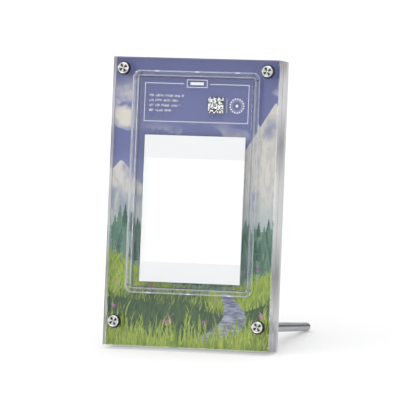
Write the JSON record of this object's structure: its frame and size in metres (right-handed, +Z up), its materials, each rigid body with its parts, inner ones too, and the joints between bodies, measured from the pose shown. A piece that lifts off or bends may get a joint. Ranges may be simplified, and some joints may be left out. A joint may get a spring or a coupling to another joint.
{
  "type": "trading card frame",
  "caption": "Clear acrylic desk frame for a trading card in its case, with a printed landscape sheet behind, cap screws at the corners and slim metal rear legs.",
  "frame": {"origin": "on the table, centred under the object's own bounding box", "axes": "+Z up, +X to the right seen from the front, -Y towards the viewer; the panel leans back towards +Y as it stands"},
  "size_m": [0.105, 0.1092, 0.176],
  "materials": {
    "acrylic": "clear, polished faces and bevels",
    "case_plastic": "clear, moulded and polished",
    "label_clear": "clear film, gloss",
    "label_ink": "white print on the clear label",
    "sheet": "white photo paper",
    "ink_sky": "printed, satin",
    "ink_peaks": "printed, satin",
    "ink_woods": "printed, satin",
    "ink_hills": "printed, satin",
    "ink_meadow": "printed, satin",
    "ink_stream": "printed, satin",
    "ink_reeds": "printed, satin",
    "card_stock": "blank, smooth",
    "screw_steel": "turned face, bright",
    "leg_steel": "drawn and polished along its length",
    "washer_rubber": "black, satin"
  },
  "bodies": {
    "root": {"front_plate": "acrylic", "back_plate": "acrylic", "print_sheet": "sheet", "print_sky": "ink_sky", "print_peaks": "ink_peaks", "print_woods": "ink_woods", "print_hills": "ink_hills", "print_meadow": "ink_meadow", "print_stream": "ink_stream", "print_reeds": "ink_reeds", "case_front_shell": "case_plastic", "case_back_shell": "case_plastic", "label_film": "label_clear", "label_border": "label_ink", "card": "card_stock", "upper_screws": "screw_steel", "lower_screws": "screw_steel", "screw_washers": "washer_rubber", "left_leg": "leg_steel", "right_leg": "leg_steel"}
  },
  "joints": []
}
